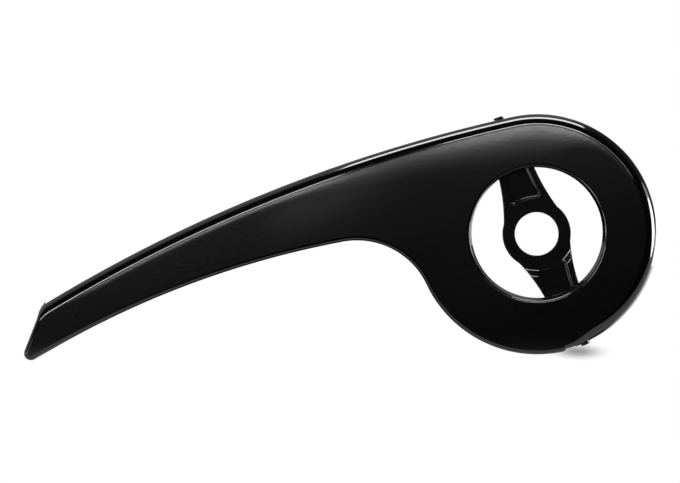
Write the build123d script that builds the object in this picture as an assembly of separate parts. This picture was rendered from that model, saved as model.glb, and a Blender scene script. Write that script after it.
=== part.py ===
from build123d import *
from math import atan2, cos, degrees, radians, sin, sqrt, tan
from typing import NamedTuple
import os

# A bicycle chain guard: a moulded shell, the bracket that carries it, and the screws and nuts between them.
# Sizes are in millimetres and degrees, and angles turn clockwise from straight up, seen from the front.
# The bottom bracket axis is the Y axis, +Y points at the bicycle, and the bracket's back is at Y = 0.

# Shell walls, measured from the front of the raised panel
wall = 2.0
least_inner_round = 0.2
panel_step = 0.6
panel_front = 26.0
ring_depth = 30.0
tail_depth = 17.0
rim_round = 8.5
rim_inset = 3.0
lip_round = 3.2
lip_depth = 8.0
lip_inset = 1.2
draft_angle = 8.0

# Outline of the raised panel
ring_rise = 2.0
panel_radius = 86.8
tail_top_radius = 1230.0
tail_top_angle = -12.5
lip_radius = 94.0
throat_radius = 65.5
throat_angle = -115.3
tail_bottom_radius = 751.0
tail_bottom_angle = -10.8
tail_reach = 407.8
tip_lean_angle = 21.5
tip_corner = 2.0
tip_top_round = 18.0

# Lower end of the deep rim, where the shallow lip begins
rim_end_angle = 160.5
lip_start_angle = 166.5
lip_step = 1.7

# Window
window_radius = 55.8
window_round = 2.2
window_depth = 11.0
window_draft_angle = 8.0

# Bracket
bore_radius = 17.5
hub_radius = 27.6
hub_fillet = 6.0
sheet = 2.0
arm_half_width = 14.4
arm_root_half_width = 22.6
arm_straight = 6.0
recess_start = 29.4
recess_border = 5.8
recess_round = 3.0
recess_end_gap = 7.0
press_depth = 1.4
press_round = 0.9
press_wall = 1.2
border_rise = 1.4
border_round = 0.7
ramp_start = 29.4
ramp_length = 5.0
lug_half_width = 7.0
lug_neck = 5.0
lug_shoulder = 9.0
lug_front = 6.5
lug_round = 3.5
bend_round = 1.5

# Screws, nuts and their seats on the rim
upper_arm_angle = -18.5
lower_arm_angle = 155.8
screw_depth = 13.0
thread = 4.0
thread_chamfer = 0.4
thread_clearance = 0.05
hole_clearance = 0.25
head_diameter = 7.0
head_height = 1.7
head_round = 0.6
slot_width = 1.2
slot_depth = 0.9
nut_width = 7.0
nut_height = 3.2
nut_chamfer = 0.5
thread_past_nut = 1.0
upper_head_rise = -0.5
lower_head_rise = 0.9
pad_margin = 1.0
boss_height = 5.0
boss_half_width = 6.0
boss_half_depth = 6.0

# Room for cutting tools to pass the faces that they cut
overcut = 5.0

BACKWARD = Vector(0, 1, 0)
PANEL_THICKNESS = wall + panel_step
RING_CENTRE = Vector(0, 0, ring_rise)
FULL_TURN = 360.0
HALF_TURN = 180.0
QUARTER_TURN = 90.0
BLEND_SHARES = (0.0, 0.5, 1.0)
NUT_SIDES = 6
SAME_PLACE = 0.05


class Bend(NamedTuple):
    """An arc of the panel's outline. Side is 1 where the outside is away from the centre, else -1."""

    centre: Vector
    radius: float
    start: float
    end: float
    side: int


def heading(turn):
    return Vector(sin(radians(turn)), 0, cos(radians(turn)))


def turn_of(vector):
    return degrees(atan2(vector.X, vector.Z))


def along_to_circle(start, way, centre, radius):
    """How far from start, along the unit vector way, a line leaves a circle."""
    gap = start - centre
    reach = gap.dot(way)
    return -reach + sqrt(reach**2 - gap.dot(gap) + radius**2)


def circles_meet(radius, other_centre, other_radius, side):
    """Where a circle about the origin meets another one, in a flat sketch."""
    gap = other_centre.length
    along = (radius**2 - other_radius**2 + gap**2) / (2 * gap)
    across = sqrt(radius**2 - along**2)
    way = other_centre.normalized()
    return way * along + Vector(-way.Y, way.X) * across * side


# Shell outline

def tail_bends():
    """The arcs of the tail: its top, the throat under the ring, its bottom and the lower corner of its tip."""
    top_centre = RING_CENTRE - heading(tail_top_angle) * (tail_top_radius - panel_radius)
    throat_centre = RING_CENTRE + heading(throat_angle) * (lip_radius + throat_radius)
    bottom_centre = throat_centre - heading(tail_bottom_angle) * (tail_bottom_radius - throat_radius)
    corner_reach = tail_bottom_radius + tip_corner
    corner_x = -tail_reach - bottom_centre.X
    corner = bottom_centre + Vector(corner_x, 0, sqrt(corner_reach**2 - corner_x**2))
    corner_turn = turn_of(corner - bottom_centre)
    tip_turn = tip_lean_angle - QUARTER_TURN
    tip_point = corner + heading(tip_turn) * tip_corner
    top_end = tip_point + heading(tip_lean_angle) * along_to_circle(
        tip_point, heading(tip_lean_angle), top_centre, tail_top_radius
    )
    run_out = degrees((tip_top_round + overcut) / tail_top_radius)
    top_start = turn_of(top_end - top_centre) - run_out
    return {
        "top": Bend(top_centre, tail_top_radius, top_start, tail_top_angle, 1),
        "throat": Bend(throat_centre, throat_radius, tail_bottom_angle, throat_angle + HALF_TURN, -1),
        "bottom": Bend(bottom_centre, tail_bottom_radius, corner_turn, tail_bottom_angle, -1),
        "corner": Bend(corner, tip_corner, corner_turn + HALF_TURN, tip_turn + FULL_TURN, 1),
    }


TAIL = tail_bends()
RIM_RING = Bend(RING_CENTRE, panel_radius, tail_top_angle, rim_end_angle, 1)
LIP_RING = Bend(RING_CENTRE, lip_radius, lip_start_angle, throat_angle + FULL_TURN, 1)
WINDOW = Bend(RING_CENTRE, window_radius, 0, FULL_TURN, -1)


def on_panel(centre, radius, turn):
    return centre + heading(turn) * radius - BACKWARD * panel_front


def inner_arc(bend, inset, forward=True):
    """A bend's arc moved inward from the outline, in the plane of the panel's front."""
    radius = bend.radius - bend.side * inset
    turns = [bend.start, (bend.start + bend.end) / 2, bend.end]
    ordered = turns if forward else reversed(turns)
    return ThreePointArc(*[on_panel(bend.centre, radius, turn) for turn in ordered])


# Shell edges

def outer_line(rounding, depth, lean, inset):
    """The outside of an edge: x is outward from the panel's outline and y is the depth behind its front."""
    lean = radians(lean)
    middle = Vector(0, panel_step + rounding)
    bow = (radians(QUARTER_TURN) + lean) / 2
    round_bow = middle + Vector(cos(bow), -sin(bow)) * rounding
    round_end = middle + Vector(cos(lean), -sin(lean)) * rounding
    back = Vector(round_end.X + (depth - round_end.Y) * tan(lean), depth)
    crease = panel_step * cos(radians(QUARTER_TURN / 2))
    return [
        Line((-inset, 0), (-panel_step, 0)),
        ThreePointArc((-panel_step, 0), (crease - panel_step, panel_step - crease), (0, panel_step)),
        ThreePointArc((0, panel_step), round_bow, round_end),
        Line(round_end, back),
    ]


def edge_section(rounding, depth, lean, inset):
    """The wall's own section at an edge, as a face."""
    outside = outer_line(rounding, depth, lean, inset)
    outer_back = outside[-1] @ 1
    lean = radians(lean)
    inner_round = max(rounding - wall, least_inner_round)
    inner_x = (rounding - wall - inner_round) * (1 - sin(lean)) / cos(lean)
    middle = Vector(inner_x, PANEL_THICKNESS + inner_round)
    bow = (radians(QUARTER_TURN) + lean) / 2
    round_start = middle + Vector(cos(lean), -sin(lean)) * inner_round
    round_bow = middle + Vector(cos(bow), -sin(bow)) * inner_round
    round_end = Vector(inner_x, PANEL_THICKNESS)
    inner_back = outer_back - Vector(wall / cos(lean), 0)
    inside = [
        Line(outer_back, inner_back),
        Line(inner_back, round_start),
        ThreePointArc(round_start, round_bow, round_end),
        Line(round_end, (-inset, PANEL_THICKNESS)),
        Line((-inset, PANEL_THICKNESS), (-inset, 0)),
    ]
    return make_face(outside + inside)


def filled_section(rounding, depth, lean, inset):
    """All the space behind the outside of an edge, as a face."""
    outside = outer_line(rounding, depth, lean, inset)
    inside = Polyline(outside[-1] @ 1, (-inset, depth), (-inset, 0))
    return make_face(outside + [inside])


def section_plane(bend, turn):
    outward = heading(turn) * bend.side
    return Plane(on_panel(bend.centre, bend.radius, turn), x_dir=outward, z_dir=outward.cross(BACKWARD))


def swept(section, bend):
    placed = section_plane(bend, bend.start) * section
    return revolve(placed, Axis(bend.centre, BACKWARD), bend.end - bend.start)


# Shell pieces

def tip_run(outset, rim_gap):
    """The start and end of a line beside the tip's slanted edge, from its lower corner up to the rim."""
    top = TAIL["top"]
    corner = TAIL["corner"]
    start = on_panel(corner.centre, corner.radius + outset, corner.end)
    up = heading(tip_lean_angle)
    length = along_to_circle(start, up, on_panel(top.centre, 0, 0), top.radius - rim_gap)
    return start, start + up * length


def front_panel():
    """The flat panel inside the rim and the lip, without the sector of the blend between them."""
    tip_start, tip_end = tip_run(-lip_inset, rim_inset)
    tail_top = TAIL["top"]._replace(start=turn_of(tip_end - TAIL["top"].centre))
    middle = on_panel(RING_CENTRE, 0, 0)
    rim_end = on_panel(RING_CENTRE, panel_radius - rim_inset, rim_end_angle)
    lip_start = on_panel(RING_CENTRE, lip_radius - lip_inset, lip_start_angle)
    outline = make_face(
        [
            inner_arc(tail_top, rim_inset),
            inner_arc(RIM_RING, rim_inset),
            Line(rim_end, middle),
            Line(middle, lip_start),
            inner_arc(LIP_RING, lip_inset),
            inner_arc(TAIL["throat"], lip_inset, forward=False),
            inner_arc(TAIL["bottom"], lip_inset, forward=False),
            inner_arc(TAIL["corner"], lip_inset),
            Line(tip_start, tip_end),
        ]
    )
    return extrude(outline, PANEL_THICKNESS, dir=BACKWARD)


def rim_to_lip():
    """The sector in which the big rounding of the rim shrinks to the small one of the lip."""
    rim_depth = panel_step + rim_round
    sections = []
    for share in BLEND_SHARES:
        radius = panel_radius + share * (lip_radius - lip_step - panel_radius)
        rounding = rim_round + share * (lip_round - rim_round)
        depth = rim_depth + share * (lip_depth - rim_depth)
        turn = rim_end_angle + share * (lip_start_angle - rim_end_angle)
        section = edge_section(rounding, depth, draft_angle, radius - window_radius)
        sections.append(section_plane(Bend(RING_CENTRE, radius, turn, turn, 1), turn) * section)
    return loft(sections)


def tip_cutter():
    """What lies past the tip's slanted edge and the round corner at its top."""
    rim_reach = rim_round * cos(radians(draft_angle))
    edge, _ = tip_run(lip_round * cos(radians(draft_angle)), 0)
    up = heading(tip_lean_angle)
    outward = heading(TAIL["corner"].end)
    top_centre = on_panel(TAIL["top"].centre, 0, 0)
    inside = edge - outward * tip_top_round
    to_middle = along_to_circle(inside, up, top_centre, tail_top_radius + rim_reach - tip_top_round)
    middle = inside + up * to_middle
    top_way = (middle - top_centre).normalized()
    half_way = (top_way + outward).normalized()
    arrive = middle + outward * tip_top_round
    leave = middle + top_way * tip_top_round
    past = ring_depth + tip_top_round
    low = edge - up * past
    high = leave + heading(turn_of(top_way) + QUARTER_TURN) * past
    far_high = high + (up + outward) * past
    outline = make_face(
        [
            Line(low, arrive),
            ThreePointArc(arrive, middle + half_way * tip_top_round, leave),
            Polyline(leave, high, far_high, low + outward * past, low),
        ]
    )
    return extrude(outline, ring_depth + 2 * overcut, dir=BACKWARD)


def tip_lip(section):
    """The lip along the tip's slanted edge, from the lower corner to the rim."""
    tip_start, tip_end = tip_run(-lip_inset, rim_inset)
    placed = section_plane(TAIL["corner"], TAIL["corner"].end) * section
    straight = extrude(placed, (tip_end - tip_start).length, dir=heading(tip_lean_angle))
    width = rim_inset + rim_round + overcut
    rim_space = Pos(width / 2 - rim_inset, ring_depth / 2) * Rectangle(width, ring_depth + 2 * overcut)
    return straight - swept(rim_space, TAIL["top"])


def back_cutter():
    """What lies behind the back edge, which rises from the ring to the tip of the tail."""
    ring_back = ring_depth - panel_front
    tip_back = tail_depth - panel_front
    slope = (ring_back - tip_back) / (tail_reach - panel_radius)
    reach = tail_reach + tip_top_round
    far_back = tip_back - slope * tip_top_round
    high_back = ring_back + 2 * overcut
    outline = make_face(
        Polyline(
            (reach, ring_back), (-panel_radius, ring_back), (-reach, far_back), (-reach, high_back),
            (reach, high_back), close=True,
        )
    )
    return extrude(outline, reach, both=True)


def wall_reach(turn, bend):
    """The distance from the bore's axis to the rim's outside at the depth of the screws."""
    lean = radians(draft_angle)
    round_back = panel_step + rim_round * (1 - sin(lean))
    radius = bend.radius + rim_round * cos(lean) + (screw_depth - round_back) * tan(lean)
    return along_to_circle(Vector(), heading(turn), bend.centre, radius)


class ScrewSite(NamedTuple):
    """Where an arm is screwed to the rim. Its seat is the flat face for the arm's lug, and grip is what lies
    between that face and the screw's head."""

    turn: float
    bend: Bend
    seat: float
    grip: float


def screw_site(turn, bend, head_rise):
    return ScrewSite(turn, bend, wall_reach(turn, bend) - boss_height, boss_height + head_rise)


SITES = {
    "upper": screw_site(upper_arm_angle, TAIL["top"], upper_head_rise),
    "lower": screw_site(lower_arm_angle, RIM_RING, lower_head_rise),
}
SCREW_Y = screw_depth - panel_front


def seat_plane(site, outward=0.0):
    """A plane across the screw's axis, with z outward, at a distance outside the seat."""
    origin = heading(site.turn) * (site.seat + outward) + BACKWARD * SCREW_Y
    return Plane(origin, x_dir=heading(site.turn + QUARTER_TURN), z_dir=heading(site.turn))


def screw_boss(site):
    """The flat boss inside the rim for the lug, and the pad outside it for the screw's head."""
    block = extrude(Rectangle(2 * boss_half_width, 2 * boss_half_depth), boss_height + overcut)
    space = filled_section(rim_round, ring_depth, draft_angle, rim_round + boss_height)
    pad = extrude(Circle(head_diameter / 2 + pad_margin), site.grip)
    return (seat_plane(site) * block & swept(space, site.bend)) + seat_plane(site) * pad


def screw_hole(site):
    """The screw's clearance hole, and the spot face that keeps the rim clear of its head."""
    hole = extrude(Circle(thread / 2 + hole_clearance), site.grip + 2 * overcut)
    spot_face = extrude(Circle(head_diameter / 2 + pad_margin), overcut)
    return seat_plane(site, -overcut) * hole + seat_plane(site, site.grip) * spot_face


def guard_shell():
    rim = edge_section(rim_round, ring_depth + overcut, draft_angle, rim_inset)
    lip = edge_section(lip_round, lip_depth, draft_angle, lip_inset)
    shell = swept(rim, TAIL["top"]) - tip_cutter()
    shell += swept(rim, RIM_RING)
    for bend in (LIP_RING, TAIL["throat"], TAIL["bottom"], TAIL["corner"]):
        shell += swept(lip, bend)
    shell += front_panel()
    shell += rim_to_lip()
    shell += tip_lip(lip)
    opening = Circle(window_radius + lip_inset)
    shell -= extrude(Plane(on_panel(RING_CENTRE, 0, 0), z_dir=BACKWARD) * opening, ring_depth)
    shell += swept(edge_section(window_round, window_depth, window_draft_angle, lip_inset), WINDOW)
    shell -= back_cutter()
    for site in SITES.values():
        shell += screw_boss(site)
    for site in SITES.values():
        shell -= screw_hole(site)
    return shell


# Bracket, with x across the arm, y along it and z towards the front

def arm_plane(site):
    return Plane((0, 0, 0), x_dir=heading(site.turn + QUARTER_TURN), z_dir=-BACKWARD)


def shoulder_end(site):
    """How far out an arm's straight sides run, to the shoulders of its lug."""
    return site.seat - lug_neck - lug_shoulder


def recess_end(site):
    return shoulder_end(site) - recess_end_gap


def arm_side(site, inset, root_radius, end):
    """One long side of an arm, moved inward: a flare from a circle about the bore, then a straight run."""
    flare_y = recess_end(site) - arm_straight
    widening = arm_root_half_width - arm_half_width
    flare_rise = flare_y - sqrt(hub_radius**2 - arm_root_half_width**2)
    full_radius = (widening**2 + flare_rise**2) / (2 * widening)
    flare_centre = Vector(arm_half_width + full_radius, flare_y)
    flare_radius = full_radius + inset
    root = circles_meet(root_radius, flare_centre, flare_radius, 1)
    flare_end = Vector(arm_half_width - inset, flare_y)
    root_way = (root - flare_centre).normalized()
    half_way = (root_way - Vector(1, 0)).normalized()
    flare = ThreePointArc(root, flare_centre + half_way * flare_radius, flare_end)
    return [flare, Line(flare_end, (flare_end.X, end))]


def arm_field(site, inset, root_radius, end):
    """The area between an arm's two sides, from a circle about the bore to a straight end."""
    side = arm_side(site, inset, root_radius, end)
    root = side[0] @ 0
    top = side[1] @ 1
    other = [mirror(edge, Plane.YZ) for edge in side]
    across = Line(top, (-top.X, top.Y))
    return make_face(side + other + [across, ThreePointArc(root, (0, root_radius), (-root.X, root.Y))])


def arm_outline(site):
    """A whole arm laid flat, up to the outside of its lug."""
    neck = site.seat - lug_neck
    shoulder = shoulder_end(site)
    end = Polyline(
        (arm_half_width, shoulder), (lug_half_width, neck), (lug_half_width, site.seat),
        (-lug_half_width, site.seat), (-lug_half_width, neck), (-arm_half_width, shoulder), close=True,
    )
    return arm_field(site, 0, hub_radius, shoulder) + make_face(end)


def bracket_blank():
    """The flat outline of the ring and both arms, with rounded inner corners."""
    outline = Circle(hub_radius)
    for site in SITES.values():
        outline += Rot(0, 0, -site.turn) * arm_outline(site)
    corners = [v for v in outline.vertices() if abs(Vector(*v).length - hub_radius) < SAME_PLACE]
    outline = fillet(corners, hub_fillet)
    return Plane.XZ * (outline - Circle(bore_radius))


def arm_recess(site):
    """The panel that is pressed back between an arm's edges."""
    field = arm_field(site, recess_border, recess_start, recess_end(site))
    return fillet(field.vertices().sort_by(Axis.Y)[:2] + field.vertices().sort_by(Axis.Y)[-2:], recess_round)


def edge_near(part, point):
    return part.edges().sort_by_distance(point)[0]


def bent_lug(site):
    """The end of an arm, turned towards the front so that it lies flat on the boss inside the rim."""
    reach = panel_front - screw_depth + lug_front
    lug = Pos(0, site.seat - sheet / 2, reach / 2) * Box(2 * lug_half_width, sheet, reach)
    hole = Pos(0, site.seat, panel_front - screw_depth) * Rot(X=QUARTER_TURN) * Cylinder(
        thread / 2 + hole_clearance, 2 * overcut
    )
    front_corners = lug.edges().filter_by(Axis.Y).group_by(Axis.Z)[-1]
    return fillet(front_corners, lug_round) - hole


def raised_border(site):
    """What stands in front of the sheet round an arm's panel, climbing from the ring on a cone."""
    frame = arm_field(site, 0, ramp_start, recess_end(site) + recess_border) - arm_recess(site)
    border = extrude(frame, border_rise)
    border = fillet(border.faces().sort_by(Axis.Z)[-1].edges(), border_round)
    return Pos(0, 0, sheet) * (border - ramp(ramp_start))


def under_border(site):
    """What is taken from the sheet's back under a raised border, so that it stays one thickness."""
    width = 2 * (hub_radius + overcut)
    height = recess_end(site) + recess_border - press_wall
    frame = Pos(0, height / 2) * Rectangle(width, height) - offset(arm_recess(site), press_wall)
    return extrude(frame, border_rise) - ramp(ramp_start + press_wall)


def ramp(radius):
    return Pos(0, 0, border_rise / 2) * Cone(radius, radius + ramp_length, border_rise)


def pressed_arm(bracket, site):
    """Adds an arm's lug, its raised borders and its recessed panel to the flat bracket."""
    plane = arm_plane(site)
    bracket += plane * bent_lug(site)
    inner_bend = plane.from_local_coords((0, site.seat - sheet, sheet))
    bracket = fillet(edge_near(bracket, inner_bend), bend_round)
    outer_bend = plane.from_local_coords((0, site.seat, 0))
    bracket = fillet(edge_near(bracket, outer_bend), bend_round + sheet)

    bracket += plane * raised_border(site)
    bracket -= plane * under_border(site)
    bump = extrude(offset(arm_recess(site), press_wall), -press_depth)
    bump = fillet(bump.faces().sort_by(Axis.Z)[0].edges(), press_round)
    bracket += plane * bump
    hollow = Pos(0, 0, sheet - press_depth) * extrude(arm_recess(site), press_depth + border_rise)
    hollow = fillet(hollow.faces().sort_by(Axis.Z)[0].edges(), press_round)
    return bracket - plane * hollow


def mounting_bracket():
    bracket = extrude(bracket_blank(), sheet)
    for site in SITES.values():
        bracket = pressed_arm(bracket, site)
    return bracket


# Screws and nuts, with z outward along the screw

def rim_screw(grip):
    """A slotted pan head screw, with the underside of its head at z = 0."""
    length = grip + sheet + nut_height + thread_past_nut
    head = extrude(Circle(head_diameter / 2), head_height)
    head = fillet(head.edges().group_by(Axis.Z)[-1], head_round)
    slot = Pos(0, 0, head_height) * Box(head_diameter, slot_width, 2 * slot_depth)
    shank = extrude(Circle(thread / 2), -length)
    shank = chamfer(shank.edges().group_by(Axis.Z)[0], thread_chamfer)
    return head - slot + shank


def rim_nut():
    """A hexagon nut with its outer face at z = 0, chamfered at its corners."""
    corner_radius = nut_width / 2 / cos(radians(HALF_TURN / NUT_SIDES))
    hexagon = extrude(RegularPolygon(corner_radius, NUT_SIDES), -nut_height)
    turned = extrude(Circle(corner_radius), -nut_height)
    turned = chamfer(turned.edges(), nut_chamfer)
    bore = extrude(Circle(thread / 2 + thread_clearance), -nut_height)
    return (hexagon & turned) - bore


if __name__ == "__main__":
    os.makedirs("parts", exist_ok=True)
    parts = {"guard_shell": guard_shell(), "mounting_bracket": mounting_bracket()}
    for name, site in SITES.items():
        parts[f"{name}_screw"] = seat_plane(site, site.grip) * rim_screw(site.grip)
        parts[f"{name}_nut"] = seat_plane(site, -sheet) * rim_nut()
    for name, part in parts.items():
        print(name, part.is_valid, len(part.solids()), part.volume, part.bounding_box())
        export_step(part, f"parts/{name}.step")
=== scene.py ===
from math import atan2, cos, degrees, radians, sin, sqrt, tan

import bmesh
import bpy
import numpy as np
from mathutils import Matrix, Quaternion, Vector
from mathutils.geometry import tessellate_polygon


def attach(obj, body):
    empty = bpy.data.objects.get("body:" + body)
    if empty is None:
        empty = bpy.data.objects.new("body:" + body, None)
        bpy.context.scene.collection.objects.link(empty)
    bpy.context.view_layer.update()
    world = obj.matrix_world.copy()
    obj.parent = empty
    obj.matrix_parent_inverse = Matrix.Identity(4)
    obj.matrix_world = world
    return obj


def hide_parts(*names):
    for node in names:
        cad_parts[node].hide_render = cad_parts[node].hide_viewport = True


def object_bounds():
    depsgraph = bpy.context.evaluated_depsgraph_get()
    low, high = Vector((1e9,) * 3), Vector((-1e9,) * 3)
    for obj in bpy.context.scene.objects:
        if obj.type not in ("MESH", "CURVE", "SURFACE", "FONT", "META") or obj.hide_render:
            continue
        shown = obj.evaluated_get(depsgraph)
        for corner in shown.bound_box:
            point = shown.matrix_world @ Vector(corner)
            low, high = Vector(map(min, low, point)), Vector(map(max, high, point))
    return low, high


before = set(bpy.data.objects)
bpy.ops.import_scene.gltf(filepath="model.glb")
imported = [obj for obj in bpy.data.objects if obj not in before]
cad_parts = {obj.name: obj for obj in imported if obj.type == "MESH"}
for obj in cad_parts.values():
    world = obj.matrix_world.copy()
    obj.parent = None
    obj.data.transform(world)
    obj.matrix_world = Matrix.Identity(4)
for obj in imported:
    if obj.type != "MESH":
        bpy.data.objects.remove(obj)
cad_low, cad_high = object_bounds()

# A bicycle chain guard, dressed. Lengths are in millimetres and angles in degrees until a mesh is made.
# Angles turn clockwise from straight up, seen from the front, and +Y points away from the camera.
MM = 0.001

# Shell walls, measured from the front of the panel, as in the part's source
wall = 2.0
panel_step = 0.6
panel_front = 26.0
ring_depth = 30.0
tail_depth = 17.0
rim_round = 8.5
lip_round = 3.2
lip_depth = 8.0
draft_angle = 8.0

# Outline of the panel, as in the part's source
ring_rise = 2.0
panel_radius = 86.8
tail_top_radius = 1230.0
tail_top_angle = -12.5
lip_radius = 94.0
lip_step = 1.7
throat_radius = 65.5
throat_angle = -115.3
tail_bottom_radius = 751.0
tail_bottom_angle = -10.8
tail_reach = 407.8
tip_lean_angle = 21.5
tip_corner = 2.0
window_radius = 55.8
window_round = 2.2
window_depth = 11.0
window_draft_angle = 8.0

# Soft forms of the moulding: the crown of the panel under the rim, and the small roundings of its edges
ring_crown_width = 29.0
tail_crown_width = 4.2
crown_slope = 5.8
crown_power = 2.2
crown_start = (-240.0, -10.0)
crown_end = (0.0, 60.0)
flat_margin = 1.5
crease_round = 0.08
valley_round = 0.1
step_angle = 93.0
least_step = 0.005
least_run = 0.01
edge_round = 0.5
edge_hold = 0.5
crease_hold = 0.12
least_inner_round = 0.4

# Where the rim shrinks to the lip: angles on the ring, the tip's shoulder and lengths from its start
crown_fade_angles = (50.0, 85.0)
step_fade_angles = (40.0, 75.0)
rim_fade_angles = (148.0, 165.5)
lip_step_angles = (165.5, 167.0)
wall_end_angles = (160.5, 161.3)
tip_shoulder = 11.0
tip_crown_fade = 60.0
tip_rim_fade = 12.0
tip_wall_fade = 5.0

# Screw seats on the rim
upper_screw_angle = -18.5
lower_screw_angle = 155.8
screw_depth = 13.0
screw_head_height = 1.7
pad_radius = 4.5
pad_thickness = 3.0
upper_grip = 4.5
lower_grip = 5.9
boss_half_width = 6.0
boss_room = 3.0
hole_radius = 2.25
sharp_angle = 35.0

# Bracket
bracket_grid = 0.4
bracket_smoothing = 4
bracket_smoothing_share = 0.5

# Colours
PLASTIC_DARK = (0.001, 0.001, 0.0011)
PLASTIC_LIGHT = (0.002, 0.002, 0.0021)
PAINT_DARK = (0.005, 0.005, 0.0055)
PAINT_LIGHT = (0.009, 0.009, 0.0098)
PLATING_DARK = (0.02, 0.02, 0.022)
PLATING_LIGHT = (0.05, 0.05, 0.053)
# Grey of the floor's paper, which the eye sees only in the patch of painted shadow
PAINTED_SHADOW_PAPER = (0.3, 0.3, 0.3, 1.0)
WHITE = (1.0, 1.0, 1.0, 1.0)

# Surfaces: noise has its scale in cells for each metre, and the height of a bump is in metres
EVEN = (1.0, 1.0, 1.0)
noise_range = (0.3, 0.7)
cloud_detail = 3.0
bump_height = 0.0002
plastic_cloud_scale = 350.0
plastic_coat_roughness = 0.04
grain_detail = 4.0
grain_stretch = (0.4, 1.0, 1.0)
face_roughness = (0.18, 0.2)
face_grain_scale = 420.0
face_grain_strength = 0.16
face_coat = 0.0
gloss_roughness = (0.08, 0.12)
gloss_grain_scale = 250.0
gloss_grain_strength = 0.01
gloss_coat = 1.0
paint_cloud_scale = 80.0
paint_roughness = (0.08, 0.12)
paint_peel_scale = 700.0
paint_peel_detail = 2.0
paint_peel_strength = 0.02
paint_coat = 1.0
paint_coat_roughness = 0.08
plating_cloud_scale = 600.0
plating_roughness = (0.3, 0.45)
plating_metallic = 0.85

# Floor, in metres: the patch of painted shadow, and the limits of the painted floor that glossy surfaces
# see
floor_reach = 6.0
shadow_place = (0.036, 0.07)
shadow_size = (0.03, 0.08)
floor_front = (-0.13, -0.07)
floor_behind = (-0.03, 0.01)
floor_right = (0.06, 0.1)
floor_near_level = 0.5
floor_far = (0.15, 0.35)
floor_far_right = (0.22, 0.34)
floor_far_end = (0.75, 0.95)
floor_far_level = 1.0

# Room: its light, and the limits of what glossy surfaces see of it, as parts of a unit direction
ambient_level = 0.35
room_dim = 0.01
room_level = 0.4
room_front = (-0.4, -0.15)
room_back = (0.85, 0.96)
room_back_share = 0.2
room_right = (0.2, 0.5)
room_right_share = 0.15

# Camera, in metres, with its lens and sensor in millimetres
camera_place = (-0.06, -2.5, 0.177)
camera_target = (-0.1582, -0.014, -0.0057)
camera_lens = 164.15
camera_sensor = 36.0

# Softboxes, in metres and degrees: name, shape, place, aim, size, turn, cone and brightness straight ahead
BOX = "RECTANGLE"
DISC = "ELLIPSE"
AREA_SHARES = {BOX: 1.0, DISC: np.pi / 4.0}
WIDE = 180.0
SOFTBOXES = (
    ("overhead", BOX, (-0.045, -0.16, 0.75), (-0.045, -0.02, 0.08), (0.77, 0.24), 0.0, WIDE, 9.0),
    ("front_tail", BOX, (-0.5325, -1.3, 0.1256), (-0.3, -0.02, 0.0), (0.557, 0.1), 18.6, WIDE, 13.0),
    ("front_ring", BOX, (0.014, -1.3, 0.3063), (0.02, -0.02, 0.08), (0.312, 0.1), 10.0, WIDE, 13.0),
    ("front_low", BOX, (0.02, -1.3, 0.15), (0.02, -0.02, 0.08), (0.2, 0.2), 0.0, WIDE, 0.45),
    ("front_right", BOX, (0.268, -1.3, 0.2675), (0.06, -0.02, 0.06), (0.26, 0.1), -40.0, WIDE, 3.0),
    ("right", DISC, (0.391, -0.039, 0.005), (0.092, -0.018, 0.002), (0.2, 0.21), 0.0, WIDE, 12.0),
    ("right_high", DISC, (0.391, -0.03, 0.085), (0.092, -0.018, 0.03), (0.2, 0.17), 0.0, WIDE, 2.0),
    ("left", BOX, (-0.725, -0.2, -0.059), (-0.554, -0.2, 0.926), (0.3, 0.457), 0.0, WIDE, 3.0),
    ("front_left", BOX, (-0.22, -0.25, -0.12), (0.03, 0.0, 0.0), (0.08, 0.22), 0.0, 60.0, 6.4),
    ("front_middle", DISC, (-0.178, -0.3, 0.02), (-0.178, 0.0, 0.02), (0.13, 0.03), 28.0, 45.0, 0.66),
    ("front_under", BOX, (-0.075, -0.19, -0.075), (0.037, 0.0, 0.045), (0.06, 0.04), 0.0, 60.0, 6.4),
    ("back_tail", BOX, (-0.28, 0.4, 0.15), (-0.28, 0.0, 0.15), (0.6, 0.12), -21.8, WIDE, 1.8),
    ("back_top", BOX, (0.0252, 0.4, 0.2332), (0.0252, 0.0, 0.2332), (0.145, 0.1), 5.0, WIDE, 1.7),
    ("back_high", BOX, (0.1342, 0.4, 0.1804), (0.1342, 0.0, 0.1804), (0.125, 0.08), 41.5, WIDE, 1.7),
    ("back_right", BOX, (0.181, 0.4, 0.089), (0.181, 0.0, 0.089), (0.122, 0.06), 74.0, WIDE, 1.3),
    ("back_low", BOX, (0.1792, 0.4, -0.0118), (0.1792, 0.0, -0.0118), (0.125, 0.06), 107.0, WIDE, 1.2),
)

# How finely the meshes are divided
TURN_STEP = 1.5
LENGTH_STEP = 4.0
FINE_STEP = 0.4
CROWN_STEPS = 14
CREASE_STEPS = 5
ROUND_STEPS = 18
EDGE_STEPS = 4
WINDOW_STEPS = 240
PAD_SIDES = 48

QUARTER_TURN = 90.0
HALF_TURN = 180.0
FULL_TURN = 360.0
PANEL_THICKNESS = wall + panel_step


def heading(angle):
    """The unit vector, or vectors, at an angle from straight up, as x and z."""
    turn = np.radians(angle)
    return np.stack((np.sin(turn), np.cos(turn)), axis=-1)


def angle_of(vector):
    return degrees(atan2(vector[0], vector[1]))


def smooth_step(value, limits):
    """0 before the limits, 1 after them, and a smooth rise between them."""
    share = np.clip((np.asarray(value, float) - limits[0]) / (limits[1] - limits[0]), 0.0, 1.0)
    return share * share * (3.0 - 2.0 * share)


def along_to_circle(start, way, centre, radius):
    """How far from start, along the unit vector way, a line leaves a circle."""
    gap = start - centre
    reach = gap @ way
    return -reach + sqrt(reach**2 - gap @ gap + radius**2)


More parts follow.
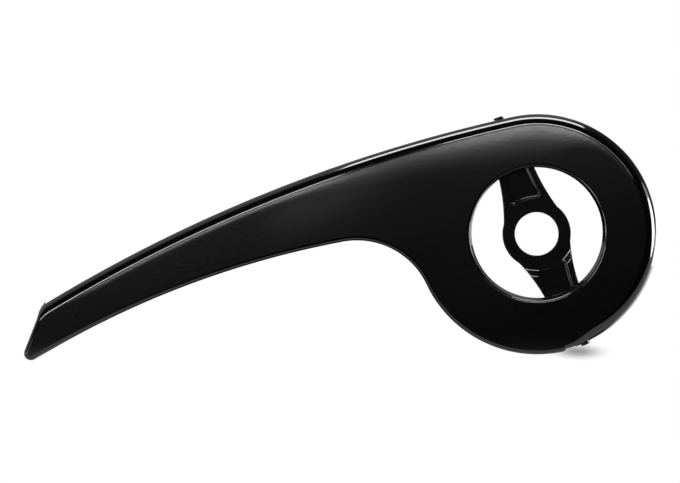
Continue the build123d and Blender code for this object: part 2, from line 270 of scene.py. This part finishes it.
# Places that follow from the sizes: the centres of the outline's arcs, and where its tip begins and ends
RING_CENTRE = np.array((0.0, ring_rise))
TOP_CENTRE = RING_CENTRE - heading(tail_top_angle) * (tail_top_radius - panel_radius)
THROAT_CENTRE = RING_CENTRE + heading(throat_angle) * (lip_radius + throat_radius)
BOTTOM_CENTRE = THROAT_CENTRE - heading(tail_bottom_angle) * (tail_bottom_radius - throat_radius)
CORNER_X = -tail_reach - BOTTOM_CENTRE[0]
CORNER_Z = sqrt((tail_bottom_radius + tip_corner) ** 2 - CORNER_X**2)
CORNER = BOTTOM_CENTRE + np.array((CORNER_X, CORNER_Z))
CORNER_ANGLE = angle_of(CORNER - BOTTOM_CENTRE)
TIP_ANGLE = tip_lean_angle - QUARTER_TURN
TIP_WAY = heading(tip_lean_angle)
TIP_START = CORNER + heading(TIP_ANGLE) * tip_corner
TIP_INSIDE = CORNER + heading(TIP_ANGLE) * (tip_corner - tip_shoulder)
TIP_LENGTH = along_to_circle(TIP_INSIDE, TIP_WAY, TOP_CENTRE, tail_top_radius - tip_shoulder)
SHOULDER = TIP_INSIDE + TIP_WAY * TIP_LENGTH
SHOULDER_ANGLE = angle_of(SHOULDER - TOP_CENTRE)
SHOULDER_LENGTH = radians(SHOULDER_ANGLE - TIP_ANGLE) * tip_shoulder


# Outline of the shell

class Outline:
    """The crease line round the panel, with what the edge is like at each of its stations."""

    def __init__(self):
        self.points = []
        self.normals = []
        self.rims = []
        self.walls = []
        self.crowns = []
        self.steps = []

    def add(self, points, normals, rim, wall_share, crown, step):
        count = len(points)
        self.points.append(points)
        self.normals.append(normals)
        self.rims.append(np.broadcast_to(rim, count))
        self.walls.append(np.broadcast_to(wall_share, count))
        self.crowns.append(np.broadcast_to(crown, count))
        self.steps.append(np.broadcast_to(step, count))

    def joined(self):
        parts = (self.points, self.normals, self.rims, self.walls, self.crowns, self.steps)
        return [np.concatenate(part) for part in parts]


def arc_angles(start, end, radius):
    """Angles along an arc, without its last one, close enough together for a smooth line."""
    by_turn = abs(end - start) / TURN_STEP
    by_length = radians(abs(end - start)) * radius / LENGTH_STEP
    count = int(max(by_turn, by_length)) + 2
    return np.linspace(start, end, count)[:-1]


def with_fine_steps(angles, limits, radius):
    """The same angles with more of them between two limits."""
    step = degrees(FINE_STEP / radius)
    fine = np.arange(limits[0], limits[1] + step, step)
    return np.unique(np.concatenate((angles[(angles < limits[0]) | (angles > limits[1])], fine)))


def add_arc(outline, centre, radius, angles, side, rim=0.0, wall_share=0.0, crown=0.0, step=0.0):
    ways = heading(angles)
    outline.add(centre + ways * np.reshape(radius, (-1, 1)), ways * side, rim, wall_share, crown, step)


def add_tip_arc(outline, centre, radius, angles, run):
    """An arc near the tip, where the rim, its wall and the crown grow with the run along the outline."""
    rim = smooth_step(run, (0.0, tip_rim_fade))
    wall_share = smooth_step(run, (0.0, tip_wall_fade))
    crown = smooth_step(run, (SHOULDER_LENGTH, tip_crown_fade))
    add_arc(outline, centre, radius, angles, 1, rim, wall_share, crown, rim)


def add_tail_top(outline):
    angles = arc_angles(SHOULDER_ANGLE, tail_top_angle, tail_top_radius)
    fade_end = SHOULDER_ANGLE + degrees(tip_rim_fade / tail_top_radius)
    angles = with_fine_steps(angles, (SHOULDER_ANGLE, fade_end), tail_top_radius)
    run = SHOULDER_LENGTH + np.radians(angles - SHOULDER_ANGLE) * tail_top_radius
    add_tip_arc(outline, TOP_CENTRE, tail_top_radius, angles, run)


def add_ring(outline):
    """The ring with its deep rim, and the lip under it."""
    angles = arc_angles(tail_top_angle, lip_step_angles[1], panel_radius)
    angles = with_fine_steps(angles, (wall_end_angles[0] - TURN_STEP, lip_step_angles[1]), panel_radius)
    rim = 1.0 - smooth_step(angles, rim_fade_angles)
    radius = panel_radius + (lip_radius - lip_step - panel_radius) * (1.0 - rim)
    radius = radius + lip_step * smooth_step(angles, lip_step_angles)
    wall_share = 1.0 - smooth_step(angles, wall_end_angles)
    crown = 1.0 - smooth_step(angles, crown_fade_angles)
    step = 1.0 - smooth_step(angles, step_fade_angles)
    add_arc(outline, RING_CENTRE, radius, angles, 1, rim, wall_share, crown, step)
    angles = arc_angles(lip_step_angles[1] + TURN_STEP, throat_angle + FULL_TURN, lip_radius)
    add_arc(outline, RING_CENTRE, lip_radius, angles, 1)


def add_lower_side(outline):
    """The throat, the tail's lower side and the tip's lower corner."""
    angles = arc_angles(throat_angle + HALF_TURN, tail_bottom_angle, throat_radius)
    add_arc(outline, THROAT_CENTRE, throat_radius, angles, -1)
    angles = arc_angles(tail_bottom_angle, CORNER_ANGLE, tail_bottom_radius)
    add_arc(outline, BOTTOM_CENTRE, tail_bottom_radius, angles, -1)
    angles = arc_angles(CORNER_ANGLE + HALF_TURN, TIP_ANGLE + FULL_TURN, tip_corner)
    add_arc(outline, CORNER, tip_corner, angles, 1)


def add_tip(outline):
    """The straight end of the tail and its upper shoulder."""
    runs = np.linspace(0.0, TIP_LENGTH, int(TIP_LENGTH / LENGTH_STEP) + 2)[:-1]
    line = TIP_START + TIP_WAY * np.reshape(runs, (-1, 1))
    outline.add(line, np.broadcast_to(heading(TIP_ANGLE), line.shape), 0.0, 0.0, 0.0, 0.0)
    angles = arc_angles(TIP_ANGLE, SHOULDER_ANGLE, tip_shoulder)
    add_tip_arc(outline, SHOULDER, tip_shoulder, angles, np.radians(angles - TIP_ANGLE) * tip_shoulder)


def shell_outline():
    """The crease line, clockwise from the upper end of the tip."""
    outline = Outline()
    add_tail_top(outline)
    add_ring(outline)
    add_lower_side(outline)
    add_tip(outline)
    return outline.joined()


# Sections of the shell's edges

class Trace:
    """A line in an edge's section: u is outward from the crease, v the depth behind the panel's front."""

    def __init__(self, u, v):
        self.points = [(u, v)]

    def crown(self, width, drop, end):
        """A curve that falls away from the flat panel."""
        start_u, start_v = self.points[0]
        places = np.linspace(start_u, end - crease_hold, CROWN_STEPS)[1:]
        for u in (*places, end):
            self.points.append((u, start_v + drop * ((u - start_u) / width) ** crown_power))

    def curve(self, start_angle, end_angle, radius, steps):
        """An arc whose direction turns from one angle to another, from outward towards the back."""
        side = 1.0 if end_angle > start_angle else -1.0
        u, v = self.points[-1]
        first = radians(start_angle)
        centre_u = u - side * radius * sin(first)
        centre_v = v + side * radius * cos(first)
        for angle in np.radians(np.linspace(start_angle, end_angle, steps + 1)[1:]):
            point_u = centre_u + side * radius * sin(angle)
            point_v = centre_v - side * radius * cos(angle)
            self.points.append((point_u, point_v))

    def straight(self, angle, run):
        u, v = self.points[-1]
        self.points.append((u + run * cos(radians(angle)), v + run * sin(radians(angle))))

    def down_to(self, depth, lean):
        """A straight wall that leans outward as it goes back."""
        run = (depth - self.points[-1][1]) / cos(radians(lean))
        self.straight(QUARTER_TURN - lean, run)


def crown_at(share, x):
    """The width of the crowned strip under the rim, and how far it falls, at a place along the guard."""
    place = smooth_step(x, crown_start) * (1.0 - smooth_step(x, crown_end))
    full_width = tail_crown_width + place * (ring_crown_width - tail_crown_width)
    width = flat_margin + share * (full_width - flat_margin)
    return width, share * width * tan(radians(crown_slope)) / crown_power


def edge_section(rounding, depth, crown, step, lean):
    """An edge of the shell, from the flat front round the outside to the flat back."""
    width, drop = crown
    rounds = crease_round + valley_round
    step = max(step, least_step)
    turn = radians(min(step_angle, degrees(np.arccos(max(1.0 - step / rounds, -1.0)))))
    step_run = max((step - rounds * (1.0 - cos(turn))) / sin(turn), least_run)
    crease_width = rounds * sin(turn) + step_run * cos(turn) + crease_hold
    slope = degrees(atan2(crown_power * drop, width))
    wall_angle = QUARTER_TURN - lean
    lean_sine = sin(radians(lean))

    outer = Trace(-width, 0.0)
    outer.crown(width, drop, -crease_width)
    outer.curve(slope, degrees(turn), crease_round, CREASE_STEPS)
    outer.straight(degrees(turn), step_run)
    outer.curve(degrees(turn), 0.0, valley_round, CREASE_STEPS)
    outer.straight(0.0, crease_hold)
    outer.curve(0.0, wall_angle, rounding, ROUND_STEPS)
    wall_end = depth - edge_round * (1.0 + lean_sine)
    outer.down_to(wall_end - edge_hold, lean)
    outer.down_to(wall_end, lean)
    outer.curve(wall_angle, HALF_TURN, edge_round, EDGE_STEPS)

    inner = Trace(-width, PANEL_THICKNESS)
    inner.crown(width, drop, 0.0)
    inner.curve(0.0, wall_angle, max(rounding - wall, least_inner_round), ROUND_STEPS)
    inner.down_to(depth - edge_round * (1.0 - lean_sine), lean)
    inner.curve(wall_angle, 0.0, edge_round, EDGE_STEPS)
    return np.array(outer.points + inner.points[::-1])


# Mesh of the shell

# Glossy steps of an edge's section: a bit by the crease, the rounding, two bits of wall and the back edge
GLOSS_START = CROWN_STEPS + 2 * CREASE_STEPS + 1
GLOSS_END = GLOSS_START + 1 + ROUND_STEPS + 2 + EDGE_STEPS
FACE, GLOSS = 0, 1


def band_of(points, normals, sections):
    """Points, quads and each quad's material of a closed band, from one section at each station."""
    count, size = len(points), len(sections[0])
    sections = np.array(sections)
    flat = points[:, None, :] + normals[:, None, :] * sections[:, :, :1]
    depth = sections[:, :, 1] - panel_front
    placed = np.stack((flat[:, :, 0], depth, flat[:, :, 1]), axis=-1).reshape(-1, 3)
    faces = []
    ids = []
    for station in range(count):
        here = station * size
        there = (station + 1) % count * size
        for step in range(size - 1):
            faces.append((here + step, there + step, there + step + 1, here + step + 1))
            ids.append(GLOSS if GLOSS_START <= step < GLOSS_END else FACE)
    return placed, faces, ids


def edge_band():
    """The band along the outline, with the deep rim and the shallow lip."""
    points, normals, rims, walls, crowns, steps = shell_outline()
    back_slope = (ring_depth - tail_depth) / (tail_reach - panel_radius)
    rim_depths = ring_depth + np.minimum(points[:, 0] + panel_radius, 0.0) * back_slope
    sections = []
    stations = zip(points[:, 0], rims, walls, crowns, steps, rim_depths)
    for x, rim, wall_share, crown_share, step, rim_depth in stations:
        crown = crown_at(crown_share, x)
        rounding = lip_round + rim * (rim_round - lip_round)
        least_depth = lip_depth + rim * (rim_round - lip_round) + crown[1]
        depth = least_depth + wall_share * (rim_depth - least_depth)
        sections.append(edge_section(rounding, depth, crown, step * panel_step, draft_angle))
    return band_of(points, normals, sections)


def window_band():
    """The band round the window, with its lip and its collar."""
    ways = heading(-np.linspace(0.0, FULL_TURN, WINDOW_STEPS + 1)[:-1])
    section = edge_section(window_round, window_depth, (flat_margin, 0.0), 0.0, window_draft_angle)
    return band_of(RING_CENTRE + ways * window_radius, -ways, [section] * WINDOW_STEPS)


def flat_fill(points, outer, hole, front):
    """Triangles between two flat loops of points."""
    loops = [[Vector((points[i][0], points[i][2])) for i in loop] for loop in (outer, hole)]
    order = list(outer) + list(hole)
    found = []
    for corners in tessellate_polygon(loops):
        a, b, c = (order[i] for i in corners)
        first = points[b] - points[a]
        second = points[c] - points[a]
        faces_back = np.cross(first, second)[1] > 0
        found.append((a, c, b) if faces_back == front else (a, b, c))
    return found


def shell_mesh():
    """The shell as one closed mesh: the bands of its edge and its window, and the panel between them."""
    edge_points, edge_faces, edge_ids = edge_band()
    window_points, window_faces, window_ids = window_band()
    offset = len(edge_points)
    size = len(window_points) // WINDOW_STEPS
    all_points = np.concatenate((edge_points, window_points))
    faces = edge_faces + [tuple(i + offset for i in face) for face in window_faces]
    ids = edge_ids + window_ids
    for first, front in ((0, True), (size - 1, False)):
        outer = range(first, offset, size)
        hole = range(offset + first, len(all_points), size)
        fill = flat_fill(all_points, outer, hole, front)
        faces += fill
        ids += [FACE] * len(fill)
    return all_points, faces, ids


def make_object(name, points, faces, material_ids, materials):
    """A smooth mesh object from points in millimetres."""
    mesh = bpy.data.meshes.new(name)
    mesh.from_pydata((np.asarray(points) * MM).tolist(), [], faces)
    for material in materials:
        mesh.materials.append(material)
    mesh.polygons.foreach_set("material_index", material_ids)
    mesh.polygons.foreach_set("use_smooth", [True] * len(faces))
    mesh.update()
    made = bpy.data.objects.new(name, mesh)
    bpy.context.scene.collection.objects.link(made)
    return made


# Screw seats of the shell

def outward_at(angle):
    x, z = heading(angle)
    return Vector((x, 0.0, z))


def head_seat(node, way):
    """How far out the underside of a screw's head lies, in metres, from the screw's own solid."""
    reach = max(vertex.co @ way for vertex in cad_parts[node].data.vertices)
    return reach - screw_head_height * MM


def tool_object(name, mesh_of, way, distance):
    """A closed solid with its middle on a screw's axis, for joining to the shell or cutting it."""
    place = way * distance + Vector((0.0, (screw_depth - panel_front) * MM, 0.0))
    matrix = Matrix.Translation(place) @ way.to_track_quat("Z", "Y").to_matrix().to_4x4()
    shape = bmesh.new()
    mesh_of(shape)
    shape.transform(matrix)
    mesh = bpy.data.meshes.new(name)
    shape.to_mesh(mesh)
    shape.free()
    made = bpy.data.objects.new(name, mesh)
    bpy.context.scene.collection.objects.link(made)
    return made


def round_tool(radius, height):
    sizes = {"radius1": radius * MM, "radius2": radius * MM, "depth": height * MM}

    def mesh_of(shape):
        bmesh.ops.create_cone(shape, cap_ends=True, segments=PAD_SIDES, **sizes)
    return mesh_of


def block_tool(half_width, height):
    sides = (2.0 * half_width * MM, 2.0 * half_width * MM, height * MM)

    def mesh_of(shape):
        bmesh.ops.create_cube(shape, size=1.0)
        bmesh.ops.scale(shape, vec=sides, verts=shape.verts)
    return mesh_of


def with_screw_seats(shell):
    """Joins the pads and bosses of both screws to the shell and bores their holes."""
    tools = []
    screws = (
        ("upper_screw", upper_screw_angle, upper_grip),
        ("lower_screw", lower_screw_angle, lower_grip),
    )
    for name, angle, grip in screws:
        way = outward_at(angle)
        seat = head_seat(name, way)
        boss_middle = seat - (grip - boss_room / 2.0) * MM
        pad_middle = seat - pad_thickness / 2.0 * MM
        face_middle = seat + pad_thickness / 2.0 * MM
        hole_middle = seat - grip / 2.0 * MM
        jobs = (
            ("boss", block_tool(boss_half_width, boss_room), boss_middle, "UNION"),
            ("pad", round_tool(pad_radius, pad_thickness), pad_middle, "UNION"),
            ("spot_face", round_tool(pad_radius, pad_thickness), face_middle, "DIFFERENCE"),
            ("hole", round_tool(hole_radius, 2.0 * grip), hole_middle, "DIFFERENCE"),
        )
        for kind, mesh_of, distance, operation in jobs:
            tool = tool_object(f"{name}_{kind}", mesh_of, way, distance)
            modifier = shell.modifiers.new(tool.name, "BOOLEAN")
            modifier.operation = operation
            modifier.solver = "EXACT"
            modifier.object = tool
            tools.append(tool)
    baked = bpy.data.meshes.new_from_object(shell.evaluated_get(bpy.context.evaluated_depsgraph_get()))
    shell.modifiers.clear()
    shell.data = baked
    for tool in tools:
        bpy.data.objects.remove(tool)
    baked.set_sharp_from_angle(angle=radians(sharp_angle))


# Materials

def new_material(name):
    material = bpy.data.materials.new(name)
    material.use_nodes = True
    nodes = material.node_tree.nodes
    return material, nodes, material.node_tree.links, nodes["Principled BSDF"]


def noise(nodes, links, scale, detail, stretch=EVEN):
    """Noise in the part's own frame."""
    place = nodes.new("ShaderNodeTexCoord")
    mapping = nodes.new("ShaderNodeMapping")
    mapping.inputs["Scale"].default_value = stretch
    made = nodes.new("ShaderNodeTexNoise")
    made.inputs["Scale"].default_value = scale
    made.inputs["Detail"].default_value = detail
    links.new(place.outputs["Object"], mapping.inputs["Vector"])
    links.new(mapping.outputs["Vector"], made.inputs["Vector"])
    return made.outputs["Fac"]


def ranged(nodes, links, value, levels):
    """A noise spread between two levels."""
    made = nodes.new("ShaderNodeMapRange")
    made.inputs["From Min"].default_value, made.inputs["From Max"].default_value = noise_range
    made.inputs["To Min"].default_value, made.inputs["To Max"].default_value = levels
    links.new(value, made.inputs["Value"])
    return made.outputs["Result"]


def tinted(nodes, links, value, dark, light):
    made = nodes.new("ShaderNodeMix")
    made.data_type = "RGBA"
    made.inputs["A"].default_value = (*dark, 1.0)
    made.inputs["B"].default_value = (*light, 1.0)
    links.new(value, made.inputs["Factor"])
    return made.outputs["Result"]


def bumped(nodes, links, height, strength):
    made = nodes.new("ShaderNodeBump")
    made.inputs["Strength"].default_value = strength
    made.inputs["Distance"].default_value = bump_height
    links.new(height, made.inputs["Height"])
    return made.outputs["Normal"]


def moulded_plastic(name, roughness, grain_scale, grain_strength, coat):
    """Black moulded plastic, with its grain as fine bumps and its gloss a little uneven."""
    material, nodes, links, shader = new_material(name)
    cloud = noise(nodes, links, plastic_cloud_scale, cloud_detail)
    grain = noise(nodes, links, grain_scale, grain_detail, grain_stretch)
    links.new(tinted(nodes, links, cloud, PLASTIC_DARK, PLASTIC_LIGHT), shader.inputs["Base Color"])
    links.new(ranged(nodes, links, cloud, roughness), shader.inputs["Roughness"])
    links.new(bumped(nodes, links, grain, grain_strength), shader.inputs["Normal"])
    shader.inputs["Coat Weight"].default_value = coat
    shader.inputs["Coat Roughness"].default_value = plastic_coat_roughness
    return material


def black_paint():
    material, nodes, links, shader = new_material("bracket_paint")
    cloud = noise(nodes, links, paint_cloud_scale, cloud_detail)
    peel = noise(nodes, links, paint_peel_scale, paint_peel_detail)
    links.new(tinted(nodes, links, cloud, PAINT_DARK, PAINT_LIGHT), shader.inputs["Base Color"])
    links.new(ranged(nodes, links, cloud, paint_roughness), shader.inputs["Roughness"])
    links.new(bumped(nodes, links, peel, paint_peel_strength), shader.inputs["Normal"])
    shader.inputs["Coat Weight"].default_value = paint_coat
    shader.inputs["Coat Roughness"].default_value = paint_coat_roughness
    return material


def black_plating():
    material, nodes, links, shader = new_material("fastener_plating")
    cloud = noise(nodes, links, plating_cloud_scale, cloud_detail)
    links.new(tinted(nodes, links, cloud, PLATING_DARK, PLATING_LIGHT), shader.inputs["Base Color"])
    links.new(ranged(nodes, links, cloud, plating_roughness), shader.inputs["Roughness"])
    shader.inputs["Metallic"].default_value = plating_metallic
    return material


# Pieces

def dress_shell():
    face = moulded_plastic(
        "shell_face", face_roughness, face_grain_scale, face_grain_strength, face_coat
    )
    gloss = moulded_plastic(
        "shell_gloss", gloss_roughness, gloss_grain_scale, gloss_grain_strength, gloss_coat
    )
    points, faces, ids = shell_mesh()
    shell = make_object("shell", points, faces, ids, (face, gloss))
    with_screw_seats(shell)
    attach(shell, "root")
    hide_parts("guard_shell")


def paint(piece, material):
    piece.data.materials.clear()
    piece.data.materials.append(material)


def dress_bracket():
    """The bracket's own solid, with the edges of its pressing softly rounded."""
    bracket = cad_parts["mounting_bracket"]
    paint(bracket, black_paint())
    remesh = bracket.modifiers.new("pressed_form", "REMESH")
    remesh.mode = "VOXEL"
    remesh.voxel_size = bracket_grid * MM
    remesh.use_smooth_shade = True
    soften = bracket.modifiers.new("pressed_edges", "SMOOTH")
    soften.factor = bracket_smoothing_share
    soften.iterations = bracket_smoothing


def dress_fasteners():
    plating = black_plating()
    for name in ("upper_screw", "upper_nut", "lower_screw", "lower_nut"):
        paint(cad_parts[name], plating)


# Nodes for the stage

def smooth_range(nodes, links, value, limits, levels):
    """A smooth change from one level to another while a value goes from one limit to the other."""
    made = nodes.new("ShaderNodeMapRange")
    made.interpolation_type = "SMOOTHSTEP"
    made.inputs["From Min"].default_value, made.inputs["From Max"].default_value = limits
    made.inputs["To Min"].default_value, made.inputs["To Max"].default_value = levels
    links.new(value, made.inputs["Value"])
    return made.outputs["Result"]


def combined(nodes, links, operation, first, second):
    made = nodes.new("ShaderNodeMath")
    made.operation = operation
    links.new(first, made.inputs[0])
    links.new(second, made.inputs[1])
    return made.outputs["Value"]


def mixed(nodes, links, share, first, second):
    made = nodes.new("ShaderNodeMixShader")
    links.new(share, made.inputs["Fac"])
    links.new(first, made.inputs[1])
    links.new(second, made.inputs[2])
    return made.outputs["Shader"]


def seen_by_eye(nodes, links, path):
    """1 for what the camera sees, straight or through something clear, and 0 for all other light."""
    rays = (path.outputs["Is Camera Ray"], path.outputs["Is Transmission Ray"])
    return combined(nodes, links, "MAXIMUM", *rays)


# Floor

def shadow_edge(nodes, links, place):
    """0 in the middle of the painted shadow patch, rising to 1 at its edge."""
    mapping = nodes.new("ShaderNodeMapping")
    mapping.vector_type = "TEXTURE"
    mapping.inputs["Location"].default_value = (*shadow_place, 0.0)
    mapping.inputs["Scale"].default_value = (*shadow_size, 1.0)
    links.new(place, mapping.inputs["Vector"])
    length = nodes.new("ShaderNodeVectorMath")
    length.operation = "LENGTH"
    links.new(mapping.outputs["Vector"], length.inputs[0])
    return smooth_range(nodes, links, length.outputs["Value"], (0.0, 1.0), (0.0, 1.0))


def mirrored_level(nodes, links, place):
    """How brightly the floor glows for glossy surfaces, a painted reflection of lit floor: a strip near
    the part and a patch behind it. Under and behind the part it stays dark, painted shade.
    """
    split = nodes.new("ShaderNodeSeparateXYZ")
    links.new(place, split.inputs["Vector"])
    x, y = split.outputs["X"], split.outputs["Y"]
    front = smooth_range(nodes, links, y, floor_front, (0.0, floor_near_level))
    # Dark under and behind the part, but not beside it at the right: painted shade for the part's shadow
    # on the floor
    behind = smooth_range(nodes, links, y, floor_behind, (1.0, 0.0))
    beside = smooth_range(nodes, links, x, floor_right, (0.0, 1.0))
    outside_painted_shade = combined(nodes, links, "MAXIMUM", behind, beside)
    near = combined(nodes, links, "MULTIPLY", front, outside_painted_shade)
    far = smooth_range(nodes, links, y, floor_far, (0.0, floor_far_level))
    right = smooth_range(nodes, links, x, floor_far_right, (0.0, 1.0))
    ended = smooth_range(nodes, links, y, floor_far_end, (1.0, 0.0))
    far_right = combined(nodes, links, "MULTIPLY", combined(nodes, links, "MULTIPLY", far, right), ended)
    return combined(nodes, links, "ADD", near, far_right)


def floor_white():
    """White to the eye, save a patch of grey paper near the part: painted shadow with the real shadow in
    it. Glossy surfaces see a painted floor, mostly dark.
    """
    material, nodes, links, shader = new_material("floor_white")
    nodes.remove(shader)
    paper = nodes.new("ShaderNodeBsdfDiffuse")
    paper.inputs["Color"].default_value = PAINTED_SHADOW_PAPER
    glow = nodes.new("ShaderNodeEmission")
    mirrored = nodes.new("ShaderNodeEmission")
    place = nodes.new("ShaderNodeTexCoord").outputs["Object"]
    path = nodes.new("ShaderNodeLightPath")
    seen = seen_by_eye(nodes, links, path)
    # The eye sees lit grey paper in the patch, a painted shadow with the real one in it, and plain white
    # elsewhere
    to_eye = combined(nodes, links, "MULTIPLY", seen, shadow_edge(nodes, links, place))
    white = mixed(nodes, links, to_eye, paper.outputs["BSDF"], glow.outputs["Emission"])
    # Glossy rays see this painted glow in place of the lit paper
    links.new(mirrored_level(nodes, links, place), mirrored.inputs["Strength"])
    shade = mixed(nodes, links, path.outputs["Is Glossy Ray"], white, mirrored.outputs["Emission"])
    links.new(shade, nodes["Material Output"].inputs["Surface"])
    return material


def make_floor():
    mesh = bpy.data.meshes.new("floor")
    corners = [(x * floor_reach, y * floor_reach, 0.0) for x, y in ((-1, -1), (1, -1), (1, 1), (-1, 1))]
    mesh.from_pydata(corners, [], [(0, 1, 2, 3)])
    mesh.materials.append(floor_white())
    floor = bpy.data.objects.new("floor", mesh)
    floor.location = (0.0, 0.0, cad_low.z)
    bpy.context.scene.collection.objects.link(floor)


# Room, light and camera

def make_world():
    """White to the eye and a plain soft light. Glossy surfaces see a dim room in front of the part."""
    world = bpy.data.worlds.new("studio")
    bpy.context.scene.world = world
    world.use_nodes = True
    nodes, links = world.node_tree.nodes, world.node_tree.links
    nodes.clear()

    def background(strength=1.0):
        made = nodes.new("ShaderNodeBackground")
        made.inputs["Color"].default_value = WHITE
        made.inputs["Strength"].default_value = strength
        return made

    place = nodes.new("ShaderNodeTexCoord")
    split = nodes.new("ShaderNodeSeparateXYZ")
    links.new(place.outputs["Generated"], split.inputs["Vector"])
    sides = smooth_range(nodes, links, split.outputs["Y"], room_front, (room_dim, room_level))
    back = smooth_range(nodes, links, split.outputs["Y"], room_back, (1.0, room_back_share))
    right = smooth_range(nodes, links, split.outputs["X"], room_right, (1.0, room_right_share))
    room = background()
    level = combined(nodes, links, "MULTIPLY", combined(nodes, links, "MULTIPLY", sides, back), right)
    links.new(level, room.inputs["Strength"])
    path = nodes.new("ShaderNodeLightPath")
    seen = seen_by_eye(nodes, links, path)
    unseen = background(ambient_level).outputs["Background"]
    lit = mixed(nodes, links, path.outputs["Is Glossy Ray"], unseen, room.outputs["Background"])
    output = nodes.new("ShaderNodeOutputWorld")
    links.new(mixed(nodes, links, seen, lit, background().outputs["Background"]), output.inputs["Surface"])


def facing(place, target):
    """The turn of a lamp or camera that looks from a place at a target."""
    return (Vector(target) - Vector(place)).to_track_quat("-Z", "Y")


def add_softbox(name, shape, place, target, size, turn, spread, radiance):
    """A lamp whose power follows from its brightness straight ahead, its size and its cone of light."""
    lamp = bpy.data.lights.new(name, "AREA")
    lamp.shape = shape
    lamp.size, lamp.size_y = size
    lamp.spread = radians(spread)
    half_cone = radians(spread) / 2.0
    gain = tan(half_cone) / (tan(half_cone) - half_cone)
    lamp.energy = radiance * np.pi * size[0] * size[1] * AREA_SHARES[shape] / gain
    made = bpy.data.objects.new(name, lamp)
    made.location = place
    about_line = Quaternion((0.0, 0.0, 1.0), radians(turn))
    made.rotation_euler = (facing(place, target) @ about_line).to_euler()
    bpy.context.scene.collection.objects.link(made)


def make_camera():
    camera = bpy.data.cameras.new("camera")
    camera.sensor_width = camera_sensor
    camera.lens = camera_lens
    made = bpy.data.objects.new("camera", camera)
    made.location = camera_place
    made.rotation_euler = facing(camera_place, camera_target).to_euler()
    bpy.context.scene.collection.objects.link(made)
    bpy.context.scene.camera = made


dress_shell()
dress_bracket()
dress_fasteners()
make_floor()
make_world()
for softbox in SOFTBOXES:
    add_softbox(*softbox)
make_camera()
bpy.context.scene.view_settings.view_transform = "Standard"
